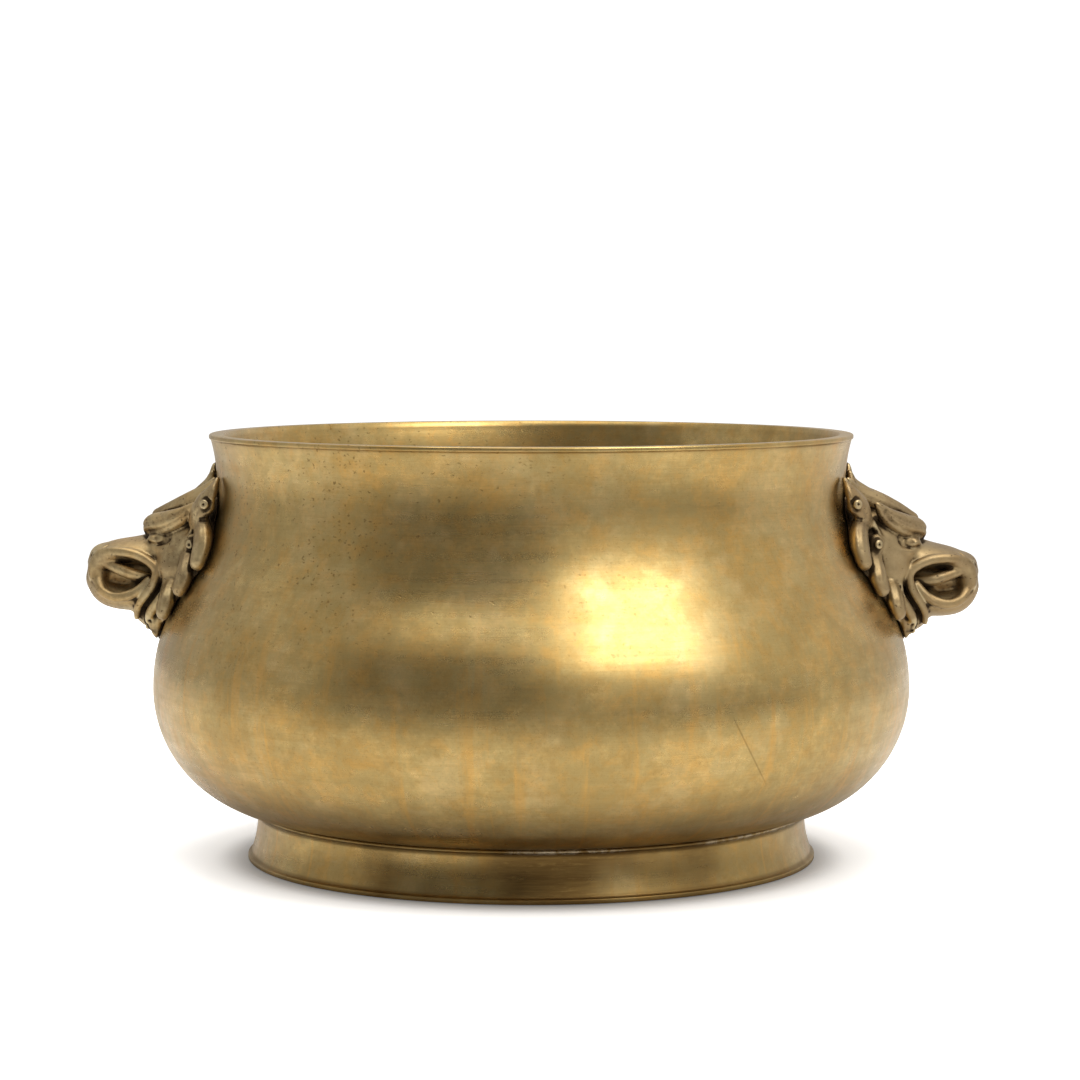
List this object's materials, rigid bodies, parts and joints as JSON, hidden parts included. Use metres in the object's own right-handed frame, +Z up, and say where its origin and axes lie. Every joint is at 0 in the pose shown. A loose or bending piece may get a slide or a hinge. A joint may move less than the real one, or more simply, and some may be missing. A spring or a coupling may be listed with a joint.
{
  "type": "bombe incense burner",
  "caption": "Wide bombe incense burner: a hollow cast brass bowl with a waisted neck, flared rim and splayed ring foot, with lion-mask handles on its shoulders.",
  "frame": {"origin": "on the bowl's axis, on the plane that the foot stands on", "axes": "+Z up the bowl's axis; +X through the lion masks; +Y square to them"},
  "size_m": [0.24, 0.2026, 0.1136],
  "materials": {
    "polished_brass": "satin polish with fine level buffing marks, mottled brown patina and small dark pits",
    "patinated_brass": "hand-chased casting, worn bright on the ridges and browned in the hollows"
  },
  "bodies": {
    "root": {"bowl": "polished_brass", "lion_mask_left": "patinated_brass", "lion_mask_right": "patinated_brass"}
  },
  "joints": []
}
